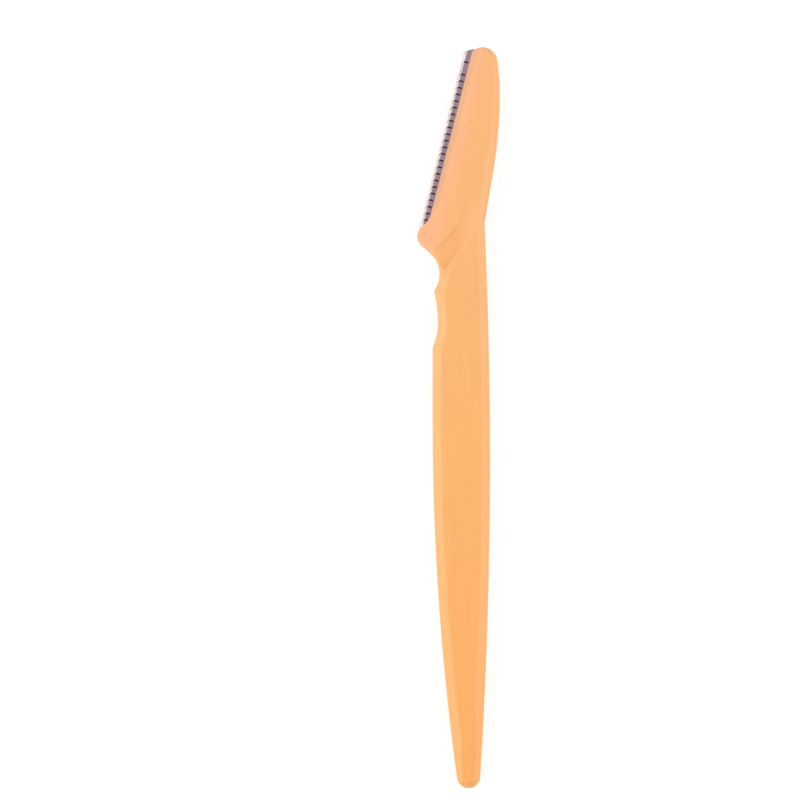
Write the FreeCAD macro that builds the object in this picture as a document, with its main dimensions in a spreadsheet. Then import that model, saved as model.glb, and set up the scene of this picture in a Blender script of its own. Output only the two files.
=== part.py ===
import FreeCAD, Part
import os

import Sketcher

# Disposable eyebrow razor lying on its back. +Y runs up the handle to the head, the blade is on the -X side
# and +Z points out of the face that shows. Sizes are in millimetres and angles in degrees. "Across" and
# "along" are measured in the head's own axes, which are the handle's axes turned by the blade's tilt.
SIZES = {
    # the whole razor
    "overall_length": 145.0,
    "overall_width": 16.2,
    "grip_thickness": 4.4,
    # grip outline: a rounded tip, a long bowed back and a front edge that sweeps in to the tip
    "tip_radius": 2.3,
    "tip_offset": 1.95,
    "grip_back_radius": 1005.0,
    "grip_front": 5.1,
    "grip_front_radius": 510.0,
    # finger rest: the shallow scoop between two points above the grip
    "rest_x": 4.06,
    "rest_y": 18.5,
    "rest_lower_radius": 11.5,
    "rest_upper_radius": 26.0,
    # neck scoop: the deep one below the toe
    "scoop_radius": 5.4,
    "scoop_x": 9.12,
    "scoop_y": 28.1,
    # head outline: toe, back, shoulder, brow and rounded top
    "toe_radius": 2.5,
    "toe_y": 35.5,
    "kink_x": 5.1,
    "kink_y": 38.0,
    "back_slope": 9.5,
    "shoulder_radius": 90.0,
    "brow_radius": 42.0,
    "top_radius": 2.9,
    # blade side of the head: the guard's fold, the bare strip and the lip that closes over it at the toe
    "blade_tilt": 14.2,
    "fold_across": 16.5,
    "strip_exposure": 1.5,
    "lip_end_radius": 4.4,
    # moulded edges: a flat bevel all round both faces that rolls over into a narrow side wall
    "bevel_width": 1.7,
    "bevel_depth": 0.98,
    "edge_roll": 1.4,
    "roll_steps": 3,
    # crowned faces of the head: they run out level with the grip's faces and fall away to the blade
    "crown_crest": 2.25,
    "crown_radius": 52.0,
    "crown_inset": 12.0,
    # the grip's faces run out on a sloped diagonal that starts at the upper point of the finger rest
    "run_out_angle": 31.3,
    "run_out_across": 16.25,
    "run_out_slope": 55.0,
    # half width of the shapes that cut the head down, which reach past it on every side
    "relief_reach": 15.0,
    # hollowed web of the neck, which rises until it fades into the head, and the raised blade tongue by it
    "web_thickness": 1.7,
    "web_foot": 26.7,
    "web_slope": 3.5,
    "web_across": 10.0,
    "web_radius": 12.0,
    "web_wall_slope": 30.0,
    "web_height": 1.5,
    "tongue_foot": 25.3,
    "tongue_side": 11.33,
    "tongue_splay": 8.0,
    "tongue_corner": 13.9,
    # dimples left in both faces by the pins that hold the blade in the mould
    "pin_mark_diameter": 0.45,
    "pin_mark_inset": 4.6,
    "pin_mark_along": 56.85,
    "pin_mark_floor": 1.45,
    # blade: a strip ground on both faces, with anchor holes that the handle's plastic fills
    "blade_thickness": 0.3,
    "blade_width": 5.0,
    "grind_width": 0.42,
    "strip_top": 70.65,
    "strip_foot": 32.95,
    "strip_corner": 1.6,
    "top_corner_drop": 0.88,
    "foot_corner_rise": 1.4,
    "anchor_diameter": 1.6,
    "anchor_inset": 3.7,
    "anchor_pitch": 12.0,
    "anchor_count": 3,
    # guard: foil folded over the ground edge, with an end slot and a row of even slots
    "foil_thickness": 0.15,
    "guard_width": 2.6,
    "slot_width": 0.32,
    "slot_reach": 1.35,
    "end_slot_along": 67.8,
    "slot_along": 65.3,
    "slot_pitch": 1.335,
    "slot_count": 23,
}

START, END, CENTRE = 1, 2, 3
ORIGIN = (-1, 1)
SAME_LEVEL = 1e-5

doc = FreeCAD.newDocument("eyebrow_razor")
sizes = doc.addObject("Spreadsheet::Sheet", "sizes")
for row, (alias, value) in enumerate(SIZES.items(), start=1):
    sizes.set(f"A{row}", alias)
    sizes.set(f"B{row}", str(value))
    sizes.setAlias(f"B{row}", alias)
doc.recompute()


def add_body(name, turn=None):
    """A body on the handle's middle plane, turned clockwise about Z by an angle of the sheet."""
    body = doc.addObject("PartDesign::Body", name)
    if turn:
        body.Placement.Rotation = FreeCAD.Rotation(FreeCAD.Vector(0, 0, -1), getattr(sizes, turn))
        body.setExpression("Placement.Rotation.Angle", f"sizes.{turn} * 1 deg")
    body.setExpression("Placement.Base.z", "sizes.grip_thickness / 2")
    return body


def add_sketch(body, name, role):
    sketch = body.newObject("Sketcher::SketchObject", name)
    plane = next(feature for feature in body.Origin.OriginFeatures if feature.Role == role)
    sketch.AttachmentSupport = [(plane, "")]
    sketch.MapMode = "FlatFace"
    return sketch


def dimension(sketch, expression, *constraint):
    """Adds a dimension whose value is an expression of the sheet."""
    index = sketch.addConstraint(Sketcher.Constraint(*constraint, sketch.evalExpression(expression)))
    sketch.setExpression(f"Constraints[{index}]", expression)


def pin(sketch, piece, place, x, y):
    """Fixes one end of a line or arc at two expressions of the sheet."""
    dimension(sketch, x, "DistanceX", *ORIGIN, piece, place)
    dimension(sketch, y, "DistanceY", *ORIGIN, piece, place)


def line(x1, y1, x2, y2):
    return Part.LineSegment(FreeCAD.Vector(x1, y1, 0), FreeCAD.Vector(x2, y2, 0))


def arc(x, y, radius, start, end):
    circle = Part.Circle(FreeCAD.Vector(x, y, 0), FreeCAD.Vector(0, 0, 1), radius)
    turn = FreeCAD.Units.Quantity("1 deg").getValueAs("rad").Value
    return Part.ArcOfCircle(circle, start * turn, end * turn)


def polygon(sketch, corners):
    """Draws a closed polygon whose corners are pairs of expressions of the sheet."""
    points = [[float(sketch.evalExpression(value)) for value in corner] for corner in corners]
    sides = [sketch.addGeometry(line(*a, *b)) for a, b in zip(points, points[1:] + points[:1])]
    for side, after in zip(sides, sides[1:] + sides[:1]):
        sketch.addConstraint(Sketcher.Constraint("Coincident", side, END, after, START))
    for side, corner in zip(sides, corners):
        pin(sketch, side, START, *corner)


# Handle outline, drawn once round from the tip. The angles and free ends drawn here are first guesses that
# the constraints settle.
def draw_outline(sketch):
    s = sizes
    half_length = s.overall_length / 2
    half_width = s.overall_width / 2
    tip = sketch.addGeometry(arc(s.tip_offset, s.tip_radius - half_length, s.tip_radius, 188, 357))
    grip_back = sketch.addGeometry(arc(6.1 - s.grip_back_radius, -8.0, s.grip_back_radius, -3.5, 2.6))
    head_back = sketch.addGeometry(line(s.kink_x, s.kink_y, 6.8, 48.0))
    shoulder = sketch.addGeometry(arc(half_width - s.shoulder_radius, 63.0, s.shoulder_radius, -9.5, 0))
    brow = sketch.addGeometry(arc(half_width - s.brow_radius, 63.0, s.brow_radius, 0, 12))
    head_top = sketch.addGeometry(arc(4.2, half_length - s.top_radius, s.top_radius, 12, 115))
    lip = sketch.addGeometry(line(-5.3, 40.0, 2.8, 72.2))
    lip_end = sketch.addGeometry(arc(-9.6, 41.1, s.lip_end_radius, -55, -14))
    toe = sketch.addGeometry(arc(s.toe_radius - half_width, s.toe_y, s.toe_radius, 125, 230))
    toe_run = sketch.addGeometry(line(-7.2, 33.6, -5.6, 32.2))
    scoop = sketch.addGeometry(arc(-s.scoop_x, s.scoop_y, s.scoop_radius, -38, 49))
    rest_upper = sketch.addGeometry(
        arc(-s.rest_x - s.rest_upper_radius, s.rest_y, s.rest_upper_radius, 0, 14))
    rest_lower = sketch.addGeometry(
        arc(-s.rest_x - s.rest_lower_radius, s.rest_y, s.rest_lower_radius, -24, 0))
    grip_side = sketch.addGeometry(line(-s.grip_front, 13.7, -s.grip_front, -0.9))
    grip_front = sketch.addGeometry(
        arc(s.grip_front_radius - s.grip_front, -0.9, s.grip_front_radius, 180, 188))

    smooth_joints = [
        (tip, END, grip_back, START),
        (head_back, END, shoulder, START),
        (shoulder, END, brow, START),
        (brow, END, head_top, START),
        (lip, START, lip_end, END),
        (lip_end, START, toe, START),
        (toe, END, toe_run, START),
        (toe_run, END, scoop, END),
        (rest_upper, START, rest_lower, END),
        (grip_side, END, grip_front, START),
        (grip_front, END, tip, START),
    ]
    corner_joints = [
        (grip_back, END, head_back, START),
        (head_top, END, lip, END),
        (scoop, START, rest_upper, END),
        (rest_lower, START, grip_side, START),
    ]
    for joint in smooth_joints:
        sketch.addConstraint(Sketcher.Constraint("Tangent", *joint))
    for joint in corner_joints:
        sketch.addConstraint(Sketcher.Constraint("Coincident", *joint))
    sketch.addConstraint(Sketcher.Constraint("Horizontal", shoulder, CENTRE, brow, CENTRE))
    sketch.addConstraint(Sketcher.Constraint("Horizontal", rest_upper, CENTRE, rest_lower, CENTRE))
    sketch.addConstraint(Sketcher.Constraint("Vertical", grip_side))

    radii = {
        "tip_radius": tip,
        "grip_back_radius": grip_back,
        "shoulder_radius": shoulder,
        "brow_radius": brow,
        "top_radius": head_top,
        "lip_end_radius": lip_end,
        "toe_radius": toe,
        "scoop_radius": scoop,
        "rest_upper_radius": rest_upper,
        "rest_lower_radius": rest_lower,
        "grip_front_radius": grip_front,
    }
    for alias, piece in radii.items():
        dimension(sketch, f"sizes.{alias}", "Radius", piece)
    pin(sketch, tip, CENTRE, "sizes.tip_offset", "sizes.tip_radius - sizes.overall_length / 2")
    pin(sketch, grip_back, END, "sizes.kink_x", "sizes.kink_y")
    pin(sketch, toe, CENTRE, "sizes.toe_radius - sizes.overall_width / 2", "sizes.toe_y")
    pin(sketch, scoop, CENTRE, "-sizes.scoop_x", "sizes.scoop_y")
    pin(sketch, rest_upper, START, "-sizes.rest_x", "sizes.rest_y")
    dimension(sketch, "sizes.overall_width / 2", "DistanceX", *ORIGIN, shoulder, END)
    dimension(sketch, "sizes.overall_length / 2 - sizes.top_radius", "DistanceY", *ORIGIN, head_top, CENTRE)
    dimension(sketch, "-sizes.grip_front", "DistanceX", *ORIGIN, grip_side, START)
    dimension(sketch, "(90 - sizes.back_slope) * 1 deg", "Angle", head_back)
    dimension(sketch, "(90 - sizes.blade_tilt) * 1 deg", "Angle", lip)
    dimension(sketch, "sizes.fold_across - sizes.strip_exposure", "Distance", *ORIGIN, lip)


# Moulding: a thin wall of the outline and, on each face of it, a rolled edge in short leaning bands and then
# the flat bevel. Each layer leans in from the face of the one before, by an angle measured from the wall.
BEVEL_LEAN = "atan2(sizes.bevel_width; sizes.bevel_depth)"
ROLL_TANGENT = f"sizes.edge_roll * tan({BEVEL_LEAN} / 2)"
FRONT, BACK = 1, -1

moulding = add_body("moulding")
outline = add_sketch(moulding, "outline", "XY_Plane")
draw_outline(outline)
doc.recompute()

wall = moulding.newObject("PartDesign::Pad", "wall")
wall.Profile = outline
wall.SideType = "Symmetric"
wall.setExpression("Length", f"sizes.grip_thickness - 2 * (sizes.bevel_depth + {ROLL_TANGENT})")
doc.recompute()


def outer_face(shape, side):
    """The flat face that lies furthest out on one side of the middle plane."""
    flats = [(side * face.BoundBox.Center.z, f"Face{i}") for i, face in enumerate(shape.Faces, 1)
             if face.BoundBox.ZLength < SAME_LEVEL]
    return max(flats)[1]


def add_layer(name, base, side, height, lean):
    layer = moulding.newObject("PartDesign::Pad", name)
    layer.Profile = (base, [outer_face(base.Shape, side)])
    layer.setExpression("Length", height)
    layer.setExpression("TaperAngle", f"-({lean})")
    doc.recompute()
    return layer


def add_edges(name, base, side):
    for step in range(int(sizes.roll_steps)):
        lower = f"{BEVEL_LEAN} * {step} / sizes.roll_steps"
        upper = f"{BEVEL_LEAN} * {step + 1} / sizes.roll_steps"
        base = add_layer(f"{name}_roll", base, side, f"sizes.edge_roll * (sin({upper}) - sin({lower}))",
                         f"({lower} + {upper}) / 2")
    return add_layer(f"{name}_bevel", base, side,
                     f"sizes.bevel_depth + {ROLL_TANGENT} - sizes.edge_roll * sin({BEVEL_LEAN})", BEVEL_LEAN)


front = add_edges("front", wall, FRONT)
add_edges("back", front, BACK)


def pad_both_ways(body, name, sketch):
    """Extrudes a cross-section past both ends of the razor."""
    pad = body.newObject("PartDesign::Pad", name)
    pad.Profile = sketch
    pad.SideType = "Symmetric"
    pad.setExpression("Length", "sizes.overall_length * 2")


# Cutting shapes for the front face. The run-out is everything past the sloped diagonal where the grip's face
# stops, the crown is everything above the head's crowned face, and the web is the hollow neck by the tongue.
run_out = add_body("run_out", "run_out_angle")
run_out_section = add_sketch(run_out, "run_out_section", "XZ_Plane")
polygon(run_out_section, [
    ("-sizes.run_out_across - sizes.grip_thickness / 2 / tan(sizes.run_out_slope * 1 deg)", "0"),
    ("-sizes.run_out_across + sizes.grip_thickness / 2 / tan(sizes.run_out_slope * 1 deg)",
     "sizes.grip_thickness"),
    ("-sizes.run_out_across - sizes.relief_reach * 2", "sizes.grip_thickness"),
    ("-sizes.run_out_across - sizes.relief_reach * 2", "0"),
])
pad_both_ways(run_out, "run_out_pad", run_out_section)

crown = add_body("crown", "blade_tilt")
crown_section = add_sketch(crown, "crown_section", "XZ_Plane")


def draw_crown(sketch):
    s = sizes
    crest = s.crown_inset - s.fold_across
    floor = s.crown_crest - s.crown_radius
    left = crest - s.relief_reach
    right = crest + s.relief_reach
    top = s.grip_thickness
    face = sketch.addGeometry(arc(crest, floor, s.crown_radius, 75.5, 104.5))
    left_side = sketch.addGeometry(line(left, 0, left, top))
    roof = sketch.addGeometry(line(left, top, right, top))
    right_side = sketch.addGeometry(line(right, top, right, 0))
    for joint in [(face, END, left_side, START), (left_side, END, roof, START),
                  (roof, END, right_side, START), (right_side, END, face, START)]:
        sketch.addConstraint(Sketcher.Constraint("Coincident", *joint))
    for side in (left_side, right_side):
        sketch.addConstraint(Sketcher.Constraint("Vertical", side))
    dimension(sketch, "sizes.crown_radius", "Radius", face)
    pin(sketch, face, CENTRE, "sizes.crown_inset - sizes.fold_across",
        "sizes.crown_crest - sizes.crown_radius")
    pin(sketch, roof, START, "sizes.crown_inset - sizes.fold_across - sizes.relief_reach",
        "sizes.grip_thickness")
    pin(sketch, roof, END, "sizes.crown_inset - sizes.fold_across + sizes.relief_reach",
        "sizes.grip_thickness")


draw_crown(crown_section)
pad_both_ways(crown, "crown_pad", crown_section)


def tilt_with_web(sketch, base_y, base_z):
    """Moves a sketch to the web's foot and tilts it with the web, which rises to the head."""
    sketch.AttachmentOffset.Rotation = FreeCAD.Rotation(FreeCAD.Vector(1, 0, 0), sizes.web_slope)
    sketch.setExpression("AttachmentOffset.Rotation.Angle", "sizes.web_slope * 1 deg")
    sketch.setExpression("AttachmentOffset.Base.y", base_y)
    sketch.setExpression("AttachmentOffset.Base.z", base_z)


hollow = add_body("hollow", "blade_tilt")
hollow_section = add_sketch(hollow, "hollow_section", "XZ_Plane")
tilt_with_web(hollow_section, "sizes.web_thickness / 2", "-sizes.web_foot")
hollow_circle = hollow_section.addGeometry(Part.Circle())
dimension(hollow_section, "sizes.web_radius", "Radius", hollow_circle)
pin(hollow_section, hollow_circle, CENTRE, "-sizes.web_across", "sizes.web_radius")
doc.recompute()
pad_both_ways(hollow, "hollow_pad", hollow_section)

web_plan = add_body("web_plan", "blade_tilt")
web_outline = add_sketch(web_plan, "web_outline", "XY_Plane")
tilt_with_web(web_outline, "sizes.web_foot", "sizes.web_thickness / 2")


def draw_web(sketch):
    """The web's outline, measured along from the web's foot, goes round the rounded end of the tongue."""
    s = sizes
    reach = s.relief_reach * 2
    foot = s.tongue_foot - s.web_foot
    tongue_foot = sketch.addGeometry(line(-reach, foot, -s.tongue_side - s.tongue_corner, foot))
    tongue_corner = sketch.addGeometry(
        arc(-s.tongue_side - s.tongue_corner, foot + s.tongue_corner, s.tongue_corner, -90, -8))
    tongue_side = sketch.addGeometry(line(-s.tongue_side, foot + s.tongue_corner, -s.tongue_side + 4, reach))
    roof = sketch.addGeometry(line(-s.tongue_side + 4, reach, reach, reach))
    back = sketch.addGeometry(line(reach, reach, reach, -reach))
    base = sketch.addGeometry(line(reach, -reach, -reach, -reach))
    front = sketch.addGeometry(line(-reach, -reach, -reach, foot))
    for joint in [(tongue_foot, END, tongue_corner, START), (tongue_corner, END, tongue_side, START)]:
        sketch.addConstraint(Sketcher.Constraint("Tangent", *joint))
    for joint in [(tongue_side, END, roof, START), (roof, END, back, START), (back, END, base, START),
                  (base, END, front, START), (front, END, tongue_foot, START)]:
        sketch.addConstraint(Sketcher.Constraint("Coincident", *joint))
    sketch.addConstraint(Sketcher.Constraint("Horizontal", tongue_foot))
    dimension(sketch, "sizes.tongue_corner", "Radius", tongue_corner)
    pin(sketch, tongue_foot, START, "-sizes.relief_reach * 2", "sizes.tongue_foot - sizes.web_foot")
    dimension(sketch, "(90 - sizes.tongue_splay) * 1 deg", "Angle", tongue_side)
    pin(sketch, tongue_side, END,
        "(sizes.relief_reach * 2 + sizes.web_foot - sizes.tongue_foot) * tan(sizes.tongue_splay * 1 deg)"
        " - sizes.tongue_side", "sizes.relief_reach * 2")
    pin(sketch, back, START, "sizes.relief_reach * 2", "sizes.relief_reach * 2")
    pin(sketch, base, START, "sizes.relief_reach * 2", "-sizes.relief_reach * 2")
    pin(sketch, front, START, "-sizes.relief_reach * 2", "-sizes.relief_reach * 2")


draw_web(web_outline)
web_pad = web_plan.newObject("PartDesign::Pad", "web_pad")
web_pad.Profile = web_outline
web_pad.setExpression("Length", "sizes.web_height")
web_pad.setExpression("TaperAngle", "sizes.web_wall_slope")
doc.recompute()


def combine(kind, name, base, tool):
    result = doc.addObject(kind, name)
    result.Base = base
    result.Tool = tool
    return result


pin_mark = doc.addObject("Part::Cylinder", "pin_mark")
pin_mark.setExpression("Radius", "sizes.pin_mark_diameter / 2")
pin_mark.setExpression("Height", "sizes.grip_thickness")
pin_mark.setExpression("Placement.Base.x",
                       "(sizes.pin_mark_inset - sizes.fold_across) * cos(sizes.blade_tilt * 1 deg)"
                       " + sizes.pin_mark_along * sin(sizes.blade_tilt * 1 deg)")
pin_mark.setExpression("Placement.Base.y",
                       "(sizes.fold_across - sizes.pin_mark_inset) * sin(sizes.blade_tilt * 1 deg)"
                       " + sizes.pin_mark_along * cos(sizes.blade_tilt * 1 deg)")
pin_mark.setExpression("Placement.Base.z", "sizes.grip_thickness / 2 + sizes.pin_mark_floor")

# Both faces are cut alike: the front as drawn and the back as its mirror image.
web = combine("Part::Common", "web", hollow, web_plan)
relief = combine("Part::Fuse", "relief", crown, web)
head_relief = combine("Part::Common", "head_relief", relief, run_out)
front_cut = combine("Part::Fuse", "front_cut", head_relief, pin_mark)
back_cut = doc.addObject("Part::Mirroring", "back_cut")
back_cut.Source = front_cut
back_cut.Normal = (0, 0, 1)
back_cut.setExpression("Base.z", "sizes.grip_thickness / 2")
front_shaped = combine("Part::Cut", "front_shaped", moulding, front_cut)
shaped = combine("Part::Cut", "shaped", front_shaped, back_cut)
doc.recompute()


def cut_through(body, name, sketch):
    pocket = body.newObject("PartDesign::Pocket", name)
    pocket.Profile = sketch
    pocket.Type = "ThroughAll"
    pocket.SideType = "Symmetric"
    doc.recompute()
    return pocket


def add_strip(body, name, sketch):
    """Extrudes a cross-section of the steel down from the top of the head to the toe."""
    sketch.setExpression("AttachmentOffset.Base.z", "-sizes.strip_top")
    strip = body.newObject("PartDesign::Pad", name)
    strip.Profile = sketch
    strip.setExpression("Length", "sizes.strip_top - sizes.strip_foot")
    doc.recompute()


def crop_corners(body, name):
    """Crops the two outer corners of the steel to follow the head's top and to tuck into the toe."""
    sketch = add_sketch(body, name + "_lines", "XY_Plane")
    outer = "-sizes.fold_across - sizes.strip_corner"
    inner = "-sizes.fold_across + 2 * sizes.strip_corner"
    polygon(sketch, [
        (outer, "sizes.strip_top - 2 * sizes.top_corner_drop"),
        (inner, "sizes.strip_top + sizes.top_corner_drop"),
        (outer, "sizes.strip_top + sizes.top_corner_drop"),
    ])
    polygon(sketch, [
        (outer, "sizes.strip_foot + 2 * sizes.foot_corner_rise"),
        (outer, "sizes.strip_foot - sizes.foot_corner_rise"),
        (inner, "sizes.strip_foot - sizes.foot_corner_rise"),
    ])
    doc.recompute()
    cut_through(body, name, sketch)


def repeat(body, name, feature, sketch, length, count):
    """Repeats a feature along the strip."""
    pattern = body.newObject("PartDesign::LinearPattern", name)
    pattern.Originals = [feature]
    pattern.Direction = (sketch, ["V_Axis"])
    pattern.setExpression("Length", length)
    pattern.setExpression("Occurrences", count)
    body.Tip = pattern
    doc.recompute()
    return pattern


# Blade: a strip ground to an edge on both faces, with a row of anchor holes in the part the handle hides.
blade = add_body("blade", "blade_tilt")
blade_section = add_sketch(blade, "blade_section", "XZ_Plane")
polygon(blade_section, [
    ("sizes.foil_thickness - sizes.fold_across", "0"),
    ("sizes.foil_thickness + sizes.grind_width - sizes.fold_across", "-sizes.blade_thickness / 2"),
    ("sizes.blade_width - sizes.fold_across", "-sizes.blade_thickness / 2"),
    ("sizes.blade_width - sizes.fold_across", "sizes.blade_thickness / 2"),
    ("sizes.foil_thickness + sizes.grind_width - sizes.fold_across", "sizes.blade_thickness / 2"),
])
add_strip(blade, "blade_strip", blade_section)
crop_corners(blade, "blade_corners")
anchor_sketch = add_sketch(blade, "anchor_circle", "XY_Plane")
anchor_circle = anchor_sketch.addGeometry(Part.Circle())
dimension(anchor_sketch, "sizes.anchor_diameter / 2", "Radius", anchor_circle)
pin(anchor_sketch, anchor_circle, CENTRE, "sizes.anchor_inset - sizes.fold_across",
    "(sizes.strip_top + sizes.strip_foot - (sizes.anchor_count - 1) * sizes.anchor_pitch) / 2")
doc.recompute()
anchor_hole = cut_through(blade, "anchor_hole", anchor_sketch)
repeat(blade, "anchor_holes", anchor_hole, anchor_sketch,
       "(sizes.anchor_count - 1) * sizes.anchor_pitch", "sizes.anchor_count")

# Guard: foil folded round the edge. Its inner faces lie on the blade, and its outer faces are one foil
# thickness away, with a round fold about the edge itself.
guard = add_body("guard", "blade_tilt")
guard_section = add_sketch(guard, "guard_section", "XZ_Plane")


def draw_guard(sketch):
    s = sizes
    edge = s.foil_thickness - s.fold_across
    ground = edge + s.grind_width
    hem = s.guard_width - s.fold_across
    inner = s.blade_thickness / 2
    outer = inner + s.foil_thickness
    fold = sketch.addGeometry(arc(edge, 0, s.foil_thickness, 110, 250))
    sides = []
    for side in (1, -1):
        outer_ramp = sketch.addGeometry(line(edge, side * s.foil_thickness, ground, side * outer))
        outer_flank = sketch.addGeometry(line(ground, side * outer, hem, side * outer))
        hem_end = sketch.addGeometry(line(hem, side * outer, hem, side * inner))
        inner_flank = sketch.addGeometry(line(hem, side * inner, ground, side * inner))
        inner_ramp = sketch.addGeometry(line(ground, side * inner, edge, 0))
        chain = [outer_ramp, outer_flank, hem_end, inner_flank, inner_ramp]
        for piece, after in zip(chain, chain[1:]):
            sketch.addConstraint(Sketcher.Constraint("Coincident", piece, END, after, START))
        sketch.addConstraint(Sketcher.Constraint("Horizontal", outer_flank))
        sketch.addConstraint(Sketcher.Constraint("Parallel", outer_ramp, inner_ramp))
        pin(sketch, hem_end, START, "sizes.guard_width - sizes.fold_across",
            f"{side} * (sizes.blade_thickness / 2 + sizes.foil_thickness)")
        pin(sketch, hem_end, END, "sizes.guard_width - sizes.fold_across",
            f"{side} * sizes.blade_thickness / 2")
        pin(sketch, inner_ramp, START, "sizes.foil_thickness + sizes.grind_width - sizes.fold_across",
            f"{side} * sizes.blade_thickness / 2")
        sides.append(chain)
    (upper_ramp, *_, upper_inner), (lower_ramp, *_, lower_inner) = sides
    sketch.addConstraint(Sketcher.Constraint("Tangent", fold, START, upper_ramp, START))
    sketch.addConstraint(Sketcher.Constraint("Tangent", fold, END, lower_ramp, START))
    sketch.addConstraint(Sketcher.Constraint("Coincident", upper_inner, END, lower_inner, END))
    dimension(sketch, "sizes.foil_thickness", "Radius", fold)
    pin(sketch, fold, CENTRE, "sizes.foil_thickness - sizes.fold_across", "0")
    pin(sketch, upper_inner, END, "sizes.foil_thickness - sizes.fold_across", "0")


draw_guard(guard_section)
doc.recompute()
add_strip(guard, "guard_strip", guard_section)
crop_corners(guard, "guard_corners")


def slot_sketch(name, along):
    sketch = add_sketch(guard, name, "XY_Plane")
    outer = "-sizes.fold_across - sizes.slot_reach"
    inner = "-sizes.fold_across + sizes.slot_reach"
    lower = f"sizes.{along} - sizes.slot_width / 2"
    upper = f"sizes.{along} + sizes.slot_width / 2"
    polygon(sketch, [(outer, lower), (inner, lower), (inner, upper), (outer, upper)])
    doc.recompute()
    return sketch


cut_through(guard, "end_slot", slot_sketch("end_slot_lines", "end_slot_along"))
first_slot = slot_sketch("slot_lines", "slot_along")
slot = cut_through(guard, "slot", first_slot)
slots = repeat(guard, "slots", slot, first_slot,
               "(sizes.slot_count - 1) * sizes.slot_pitch", "sizes.slot_count")
slots.Reversed = True
doc.recompute()

# The handle is moulded round the steel, so its pocket is the steel's own shape and its posts fill the holes.
steel = combine("Part::Fuse", "steel", blade, guard)
handle = combine("Part::Cut", "handle", shaped, steel)
doc.recompute()

failed = [item.Name for item in doc.Objects if {"Invalid", "Error"} & set(item.State)]
if failed:
    raise RuntimeError(f"failed features: {failed}")
os.makedirs("parts", exist_ok=True)
for piece in (handle, blade, guard):
    if piece.Shape.isNull() or not piece.Shape.isValid():
        raise RuntimeError(f"{piece.Label} is not a valid solid")
for piece in (handle, blade, guard):
    piece.Shape.exportStep(f"parts/{piece.Label}.step")
    print(piece.Label, len(piece.Shape.Solids), "solid,", round(piece.Shape.Volume, 2), "mm3")
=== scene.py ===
import math

import bmesh
import bpy
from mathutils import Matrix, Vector


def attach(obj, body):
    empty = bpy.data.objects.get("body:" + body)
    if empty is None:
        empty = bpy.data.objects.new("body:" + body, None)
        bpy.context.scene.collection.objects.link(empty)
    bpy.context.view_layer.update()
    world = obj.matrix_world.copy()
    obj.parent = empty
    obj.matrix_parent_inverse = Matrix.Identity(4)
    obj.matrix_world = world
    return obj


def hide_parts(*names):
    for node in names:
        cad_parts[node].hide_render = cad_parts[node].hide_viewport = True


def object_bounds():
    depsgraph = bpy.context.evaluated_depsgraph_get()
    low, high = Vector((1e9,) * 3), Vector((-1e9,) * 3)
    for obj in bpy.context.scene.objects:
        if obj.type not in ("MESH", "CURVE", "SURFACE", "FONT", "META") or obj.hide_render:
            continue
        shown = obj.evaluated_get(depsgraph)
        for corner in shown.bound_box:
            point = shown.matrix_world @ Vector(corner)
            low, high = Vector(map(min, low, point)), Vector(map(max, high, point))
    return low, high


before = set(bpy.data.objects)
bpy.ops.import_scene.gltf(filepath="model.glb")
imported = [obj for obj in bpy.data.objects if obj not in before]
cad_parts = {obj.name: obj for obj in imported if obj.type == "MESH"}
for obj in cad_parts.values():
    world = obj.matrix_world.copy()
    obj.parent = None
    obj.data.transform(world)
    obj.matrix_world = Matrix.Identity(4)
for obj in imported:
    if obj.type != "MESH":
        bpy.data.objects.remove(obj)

cad_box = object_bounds()
MM = 0.001

# Blade: a narrow stainless strip, ground to an edge on both faces. Its back is moulded into the head, and it
# shows only in the guard's slots, one foil thickness down. Its flats carry painted shade: a near-black,
# purplish colour that makes the slots read dark. The slope down to its edge is a paler steel.
BLADE_TILT = math.radians(14.2)
BRIGHT_STARTS = -16.06 * MM
SLOPE_BLEND = 0.05 * MM
STREAK_CELL, STREAK_DEPTH = (0.05 * MM, 4 * MM, 0.05 * MM), 0.0015 * MM
NOISE_LOW, NOISE_HIGH = 0.3, 0.7


def add_node(material, kind, **sockets):
    """A node with its input sockets set by name, where an underscore in the name stands for a space."""
    node = material.node_tree.nodes.new(kind)
    for name, value in sockets.items():
        node.inputs[name.replace("_", " ")].default_value = value
    return node


def join(material, source, target):
    material.node_tree.links.new(source, target)


def bare(owner):
    """A material or world with an empty node tree."""
    owner.use_nodes = True
    owner.node_tree.nodes.clear()
    return owner


def new_material(name):
    """A material with a bare Principled shader, and that shader."""
    material = bare(bpy.data.materials.new(name))
    shader = add_node(material, "ShaderNodeBsdfPrincipled")
    output = add_node(material, "ShaderNodeOutputMaterial")
    join(material, shader.outputs["BSDF"], output.inputs["Surface"])
    return material, shader


def pattern(material, cell, turn=0.0):
    """Noise on the piece's own coordinates, with cells of the given size in metres, turned about Z."""
    place = add_node(material, "ShaderNodeTexCoord")
    mapping = add_node(material, "ShaderNodeMapping", Rotation=(0, 0, -turn), Scale=cell)
    mapping.vector_type = "TEXTURE"
    noise = add_node(material, "ShaderNodeTexNoise", Scale=1.0)
    join(material, place.outputs["Object"], mapping.inputs["Vector"])
    join(material, mapping.outputs["Vector"], noise.inputs["Vector"])
    return noise.outputs["Fac"]


def between(material, noise, low, high):
    """Noise spread from low to high."""
    spread = add_node(material, "ShaderNodeMapRange", From_Min=NOISE_LOW, From_Max=NOISE_HIGH,
                      To_Min=low, To_Max=high)
    join(material, noise, spread.inputs["Value"])
    return spread.outputs["Result"]


def tinted(material, noise, dark, light):
    """A colour between two, by noise."""
    ramp = add_node(material, "ShaderNodeValToRGB")
    for stop, place, colour in zip(ramp.color_ramp.elements, (NOISE_LOW, NOISE_HIGH), (dark, light)):
        stop.position = place
        stop.color = (*colour, 1)
    join(material, noise, ramp.inputs["Fac"])
    return ramp.outputs["Color"]


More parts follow.
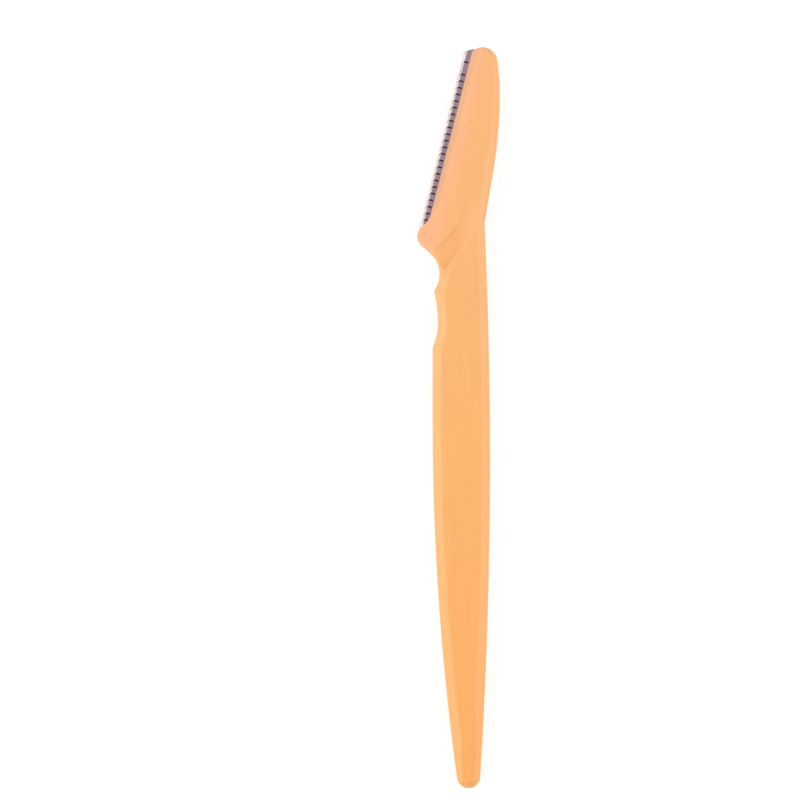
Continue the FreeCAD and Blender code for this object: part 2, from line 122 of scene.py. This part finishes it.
def head_axes(material):
    """Distances from the razor's origin in the head's axes: X across it to its back, Y along it."""
    place = add_node(material, "ShaderNodeTexCoord")
    turned = add_node(material, "ShaderNodeMapping", Rotation=(0, 0, BLADE_TILT))
    axes = add_node(material, "ShaderNodeSeparateXYZ")
    join(material, place.outputs["Object"], turned.inputs["Vector"])
    join(material, turned.outputs["Vector"], axes.inputs["Vector"])
    return axes.outputs


def share(material, distance, start, end):
    """A factor that rises smoothly from 0 to 1 between two distances."""
    rise = add_node(material, "ShaderNodeMapRange", From_Min=start, From_Max=end)
    rise.interpolation_type = "SMOOTHSTEP"
    join(material, distance, rise.inputs["Value"])
    return rise.outputs["Result"]


def mixed(material, factor, colour, other):
    """A colour that turns into another as a factor rises."""
    mix = add_node(material, "ShaderNodeMix")
    mix.data_type = "RGBA"
    mix.inputs["B"].default_value = (*other, 1)
    join(material, factor, mix.inputs["Factor"])
    join(material, colour, mix.inputs["A"])
    return mix.outputs["Result"]


def raised(material, shader, height, depth):
    """Bump of the given depth in metres."""
    bump = add_node(material, "ShaderNodeBump", Strength=1.0, Distance=depth)
    join(material, height, bump.inputs["Height"])
    join(material, bump.outputs["Normal"], shader.inputs["Normal"])


def streaked_steel(name, dark, light, edge, edge_starts, smooth, rough):
    """Steel whose fine streaks run along the strip, with another colour on the slope down to its edge."""
    material, shader = new_material(name)
    streaks = pattern(material, STREAK_CELL, BLADE_TILT)
    flat = tinted(material, streaks, dark, light)
    slope = share(material, head_axes(material)["X"], edge_starts, edge_starts - SLOPE_BLEND)
    shader.inputs["Metallic"].default_value = 1.0
    join(material, mixed(material, slope, flat, edge), shader.inputs["Base Color"])
    join(material, between(material, streaks, smooth, rough), shader.inputs["Roughness"])
    raised(material, shader, streaks, STREAK_DEPTH)
    return material


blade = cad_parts["blade"]
blade.data.materials.clear()
# The flats' dark and light colours are painted shade for the slots, far darker than the steel itself.
blade.data.materials.append(
    streaked_steel("steel_painted_slot_shade", dark=(0.08, 0.041, 0.053), light=(0.145, 0.078, 0.097),
                   edge=(0.5, 0.42, 0.43), edge_starts=BRIGHT_STARTS, smooth=0.3, rough=0.45))

# Guard: stainless foil, punched with a row of slots and folded over the blade's edge before moulding. The
# flat hems lie on the blade, and the punch leaves the slots' rims a little rounded.
FOLD_STARTS = -15.9 * MM
GUARD_RIM, GUARD_SEGMENTS = 0.025 * MM, 2
FOLD_ANGLES, RIM_ANGLES = (15, 25), (60, 120)
WELD, FLAT_ANGLE = 0.002 * MM, math.radians(0.3)
SHARP_ANGLE = math.radians(40)


def solid_copy(node):
    """The CAD node's mesh with its triangles welded and flat faces whole again."""
    solid = bmesh.new()
    solid.from_mesh(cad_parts[node].data)
    bmesh.ops.remove_doubles(solid, verts=solid.verts, dist=WELD)
    bmesh.ops.dissolve_limit(solid, angle_limit=FLAT_ANGLE, verts=solid.verts, edges=solid.edges)
    return solid


def folds(solid, least, most):
    """The edges whose faces meet at an angle between two limits, in degrees."""
    return [edge for edge in solid.edges if least <= math.degrees(edge.calc_face_angle(0)) < most]


def round_edges(solid, edges, radius, segments):
    bmesh.ops.bevel(solid, geom=edges, affect="EDGES", offset_type="OFFSET", offset=radius,
                    segments=segments, profile=0.5, material=-1, clamp_overlap=False)


def add_object(name, data):
    item = bpy.data.objects.new(name, data)
    bpy.context.scene.collection.objects.link(item)
    return item


def finish_piece(name, solid, material, node):
    """Makes the solid a smooth piece that stands for its CAD node."""
    mesh = bpy.data.meshes.new(name)
    solid.to_mesh(mesh)
    solid.free()
    mesh.shade_smooth()
    mesh.set_sharp_from_angle(angle=SHARP_ANGLE)
    mesh.materials.append(material)
    piece = add_object(name, mesh)
    even_light = piece.modifiers.new("even_light", "WEIGHTED_NORMAL")
    even_light.keep_sharp = True
    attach(piece, "root")
    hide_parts(node)


guard_solid = solid_copy("guard")
guard_edges = folds(guard_solid, *FOLD_ANGLES) + folds(guard_solid, *RIM_ANGLES)
round_edges(guard_solid, guard_edges, GUARD_RIM, GUARD_SEGMENTS)
guard_steel = streaked_steel("rolled_foil", dark=(0.62, 0.43, 0.49), light=(0.775, 0.555, 0.625),
                             edge=(0.47, 0.40, 0.39), edge_starts=FOLD_STARTS, smooth=0.24, rough=0.36)
finish_piece("guard_foil", guard_solid, guard_steel, "guard")

# Handle: one shot of peach polypropylene, moulded round the steel. Mould polish leaves it satin, the edges
# that the tool cut are softly rounded, most of all round the thin neck, and the thin head looks paler where
# the steel lies under it. Along the lip's edge beside the steel, the colour is darkened as painted shade.
SOFT_EDGE, SOFT_SEGMENTS = 0.35 * MM, 3
SOFT_ANGLES = (28, 84)
SOFT_ROOM = 1.3 * SOFT_EDGE
# The forms of the neck and head, and the places there that are softened more or keep their shape
FORMS_LOW, FORMS_HIGH = Vector((-8.2, 24.5)) * MM, Vector((4.2, 67)) * MM
FORMS_CELL = 0.25 * MM
FORMS_MARGIN = 1.5 * FORMS_CELL
FORMS_ROUNDS, RIM_ROUNDS, HEAD_ROUNDS, MARK_ROUNDS = 2, 40, 16, 6
SCOOP_CENTRE, RIM_REACH = Vector((-9.12, 28.1)) * MM, 6.8 * MM
PIN_MARK, PIN_MARK_REACH = Vector((2.41, 58.03)) * MM, 0.5 * MM
HEAD_FOOT = 37 * MM
LIP_INNER = -13.4 * MM
BACK_INNER, BACK_SLOPE = 2.8 * MM, math.tan(math.radians(9.5))
WALL_HEIGHT = 0.84 * MM
# The plastic, from the tip to the head and across the head to the lip
TIP_COLOUR = (0.985, 0.428, 0.122)
GRIP_COLOUR = (0.96, 0.463, 0.159)
HEAD_COLOUR = (0.96, 0.469, 0.195)
LIP_COLOUR = (0.96, 0.468, 0.234)
# Painted shade: a darker colour along the lip's rounded edge beside the steel, and the span it covers across
# and along the head
LIP_PAINTED_SHADE = (0.78, 0.41, 0.24)
HEAD_STARTS = 10 * MM
OVER_STEEL = (-11 * MM, -13.5 * MM)
LIP_SHADE_ACROSS, LIP_SHADE_ALONG = (-13.7 * MM, -14.9 * MM), (37.5 * MM, 40 * MM)
FLOW_CELL = (1.5 * MM, 14 * MM, 1.5 * MM)
FLOW_SHADES, FLOW_ROUGHNESS = (0.985, 1.015), (0.34, 0.42)
SATIN_CELL, SATIN_DEPTH = (0.12 * MM, 0.12 * MM, 0.12 * MM), 0.004 * MM
PLASTIC_IOR = 1.49


def combined(material, operation, first, second):
    """What a maths operation makes of two values."""
    node = add_node(material, "ShaderNodeMath")
    node.operation = operation
    join(material, first, node.inputs[0])
    join(material, second, node.inputs[1])
    return node.outputs["Value"]


def colour_along(material):
    """The colour that changes from the tip through the grip to the head."""
    low, high = cad_box
    place = add_node(material, "ShaderNodeTexCoord")
    axes = add_node(material, "ShaderNodeSeparateXYZ")
    join(material, place.outputs["Object"], axes.inputs["Vector"])
    along = add_node(material, "ShaderNodeMapRange", From_Min=low.y, From_Max=high.y)
    join(material, axes.outputs["Y"], along.inputs["Value"])
    ramp = add_node(material, "ShaderNodeValToRGB")
    stops = ramp.color_ramp.elements
    stops[0].color = (*TIP_COLOUR, 1)
    stops[1].color = (*HEAD_COLOUR, 1)
    middle = stops.new((HEAD_STARTS - low.y) / (high.y - low.y))
    middle.color = (*GRIP_COLOUR, 1)
    join(material, along.outputs["Result"], ramp.inputs["Fac"])
    return ramp.outputs["Color"]


def handle_plastic():
    """Satin plastic that pales over the steel, with painted shade darkening the lip's edge, and faint flow
    marks.
    """
    material, shader = new_material("peach_polypropylene")
    head = head_axes(material)
    over_steel = share(material, head["X"], *OVER_STEEL)
    # Painted shade: darkens the colour along the lip's edge next to the steel
    lip_shade = combined(material, "MULTIPLY", share(material, head["X"], *LIP_SHADE_ACROSS),
                        share(material, head["Y"], *LIP_SHADE_ALONG))
    paler = mixed(material, over_steel, colour_along(material), LIP_COLOUR)
    lip_shaded = mixed(material, lip_shade, paler, LIP_PAINTED_SHADE)

    flow = pattern(material, FLOW_CELL)
    mottle = add_node(material, "ShaderNodeHueSaturation")
    join(material, between(material, flow, *FLOW_SHADES), mottle.inputs["Value"])
    join(material, lip_shaded, mottle.inputs["Color"])
    join(material, mottle.outputs["Color"], shader.inputs["Base Color"])

    join(material, between(material, flow, *FLOW_ROUGHNESS), shader.inputs["Roughness"])
    raised(material, shader, pattern(material, SATIN_CELL), SATIN_DEPTH)
    shader.inputs["IOR"].default_value = PLASTIC_IOR
    return material


def roomy(edges, room):
    """The outer edges that have the given room for rounding on both faces."""
    outer = {edge for edge in edges if edge.is_convex}

    def has_room(edge):
        along = (edge.verts[1].co - edge.verts[0].co).normalized()
        for corner in edge.verts:
            for other in set(corner.link_edges) - outer:
                side = other.other_vert(corner).co - corner.co
                if (side - along * side.dot(along)).length < room:
                    return False
        return True

    return [edge for edge in outer if has_room(edge)]


def in_forms(place, margin=0.0):
    """Whether a point is in the neck or head, by at least the margin."""
    return all(low + margin < value < high - margin
               for low, value, high in zip(FORMS_LOW, place.xy, FORMS_HIGH))


def cut_grid(solid):
    """Cuts the faces of the neck and head into small cells."""

    def cut(parts, axis, place):
        across = Vector((axis == 0, axis == 1, 0))
        return bmesh.ops.bisect_plane(solid, geom=parts, dist=WELD, plane_co=across * place,
                                      plane_no=across)["geom"]

    for axis in (0, 1):
        for limit in (FORMS_LOW[axis], FORMS_HIGH[axis]):
            cut(solid.verts[:] + solid.edges[:] + solid.faces[:], axis, limit)
    faces = [face for face in solid.faces if in_forms(face.calc_center_median())]
    edges = {edge for face in faces for edge in face.edges}
    corners = {corner for face in faces for corner in face.verts}
    parts = [*corners, *edges, *faces]
    for axis in (0, 1):
        for cell in range(1, int((FORMS_HIGH[axis] - FORMS_LOW[axis]) / FORMS_CELL)):
            parts = cut(parts, axis, FORMS_LOW[axis] + cell * FORMS_CELL)


def stays(place):
    """Whether a point keeps its place: outside the neck and head, or on the side wall, the lip or the bevel
    of the back."""
    middle = (cad_box[0].z + cad_box[1].z) / 2
    up_head = max(place.y - HEAD_FOOT, 0)
    across = place.x * math.cos(BLADE_TILT) - place.y * math.sin(BLADE_TILT)
    return (not in_forms(place, FORMS_MARGIN) or abs(place.z - middle) < WALL_HEIGHT / 2
            or (up_head > 0 and across < LIP_INNER) or place.x > BACK_INNER + up_head * BACK_SLOPE)


def soften_forms(solid):
    """Rounds the forms of the neck and head, most of all along the rim of the scoop and up the head, and
    less at the pin mark."""
    free = [corner for corner in solid.verts if not stays(corner.co)]
    rim = [corner for corner in free if (corner.co.xy - SCOOP_CENTRE).length < RIM_REACH]
    head = [corner for corner in free if corner.co.y > HEAD_FOOT
            and (corner.co.xy - PIN_MARK).length > PIN_MARK_REACH]
    mark = [corner for corner in free if (corner.co.xy - PIN_MARK).length <= PIN_MARK_REACH]
    for corners, rounds in ((free, FORMS_ROUNDS), (rim, RIM_ROUNDS), (head, HEAD_ROUNDS),
                            (mark, MARK_ROUNDS)):
        for _ in range(rounds):
            bmesh.ops.smooth_vert(solid, verts=corners, factor=0.5, use_axis_x=True, use_axis_y=True,
                                  use_axis_z=True)


handle_solid = solid_copy("handle")
soft_edges = [edge for edge in roomy(folds(handle_solid, *SOFT_ANGLES), SOFT_ROOM)
              if stays((edge.verts[0].co + edge.verts[1].co) / 2)]
round_edges(handle_solid, soft_edges, SOFT_EDGE, SOFT_SEGMENTS)
cut_grid(handle_solid)
soften_forms(handle_solid)
finish_piece("handle_moulding", handle_solid, handle_plastic(), "handle")

# Studio: a pale floor that turns white where it is seen and keeps a light shadow, a soft sky that is darker
# overhead and on the right, and a softbox on either side that draws a thin light along the edges.
FLOOR_SIZE = 3.0
FLOOR_COLOUR, SEEN_FLOOR_COLOUR = (0.65, 0.65, 0.65, 1), (0.35, 0.35, 0.35, 1)
FLOOR_GLOW = 0.74
floor_mesh = bpy.data.meshes.new("floor")
floor_shape = bmesh.new()
bmesh.ops.create_grid(floor_shape, x_segments=1, y_segments=1, size=FLOOR_SIZE / 2)
floor_shape.to_mesh(floor_mesh)
floor_shape.free()
floor = add_object("floor", floor_mesh)

paper = bare(bpy.data.materials.new("white_paper"))
floor_mesh.materials.append(paper)
plain = add_node(paper, "ShaderNodeBsdfDiffuse", Color=FLOOR_COLOUR)
shadowed = add_node(paper, "ShaderNodeBsdfDiffuse", Color=SEEN_FLOOR_COLOUR)
glow = add_node(paper, "ShaderNodeEmission", Strength=FLOOR_GLOW)
seen_floor = add_node(paper, "ShaderNodeAddShader")
join(paper, shadowed.outputs["BSDF"], seen_floor.inputs[0])
join(paper, glow.outputs["Emission"], seen_floor.inputs[1])
rays = add_node(paper, "ShaderNodeLightPath").outputs
seen = combined(paper, "MAXIMUM", rays["Is Camera Ray"], rays["Is Glossy Ray"])
seen_through = combined(paper, "MAXIMUM", seen, rays["Is Transmission Ray"])
floor_mix = add_node(paper, "ShaderNodeMixShader")
join(paper, seen_through, floor_mix.inputs["Fac"])
join(paper, plain.outputs["BSDF"], floor_mix.inputs[1])
join(paper, seen_floor.outputs["Shader"], floor_mix.inputs[2])
floor_output = add_node(paper, "ShaderNodeOutputMaterial")
join(paper, floor_mix.outputs["Shader"], floor_output.inputs["Surface"])

OVERHEAD, HORIZON_LEFT, HORIZON_RIGHT = 0.43, 1.0, 0.35
SKY_LOW, SKY_HIGH = 0.1, 0.35
world = bare(bpy.data.worlds.new("studio"))
bpy.context.scene.world = world
direction = add_node(world, "ShaderNodeTexCoord")
sky_axes = add_node(world, "ShaderNodeSeparateXYZ")
join(world, direction.outputs["Generated"], sky_axes.inputs["Vector"])
horizon = add_node(world, "ShaderNodeMapRange", From_Min=-1.0, To_Min=HORIZON_LEFT, To_Max=HORIZON_RIGHT)
join(world, sky_axes.outputs["X"], horizon.inputs["Value"])
sky = add_node(world, "ShaderNodeMapRange", From_Min=SKY_LOW, From_Max=SKY_HIGH, To_Max=OVERHEAD)
join(world, sky_axes.outputs["Z"], sky.inputs["Value"])
join(world, horizon.outputs["Result"], sky.inputs["To Min"])
sky_light = add_node(world, "ShaderNodeBackground")
join(world, sky.outputs["Result"], sky_light.inputs["Color"])
sky_output = add_node(world, "ShaderNodeOutputWorld")
join(world, sky_light.outputs["Background"], sky_output.inputs["Surface"])

SOFTBOX_WIDTH, SOFTBOX_LENGTH = 0.5, 1.0
SOFTBOX_DISTANCE = 0.6
for side, lean, power in (("left", -58, 3.2), ("right", 58, 2.9)):
    softbox = bpy.data.lights.new(f"softbox_{side}", "AREA")
    softbox.shape = "RECTANGLE"
    softbox.size = SOFTBOX_WIDTH
    softbox.size_y = SOFTBOX_LENGTH
    softbox.energy = power
    lamp = add_object(f"softbox_{side}", softbox)
    turn = math.radians(lean)
    lamp.location = (SOFTBOX_DISTANCE * math.sin(turn), 0, SOFTBOX_DISTANCE * math.cos(turn))
    lamp.rotation_euler = (0, turn, 0)

# Camera: a long lens straight above, so the razor is seen square, with the razor right of the picture's
# middle as in the photograph.
IMAGE_WIDTH = 156.64 * MM
IMAGE_CENTRE = Vector((-11.47 * MM, 3.46 * MM))
LENS, SENSOR = 135.0, 36.0
camera_data = bpy.data.cameras.new("camera")
camera_data.lens = LENS
camera_data.sensor_width = SENSOR
camera = add_object("camera", camera_data)
camera.location = (*IMAGE_CENTRE, (cad_box[0].z + cad_box[1].z) / 2 + IMAGE_WIDTH * LENS / SENSOR)
bpy.context.scene.camera = camera
bpy.context.scene.view_settings.view_transform = "Standard"
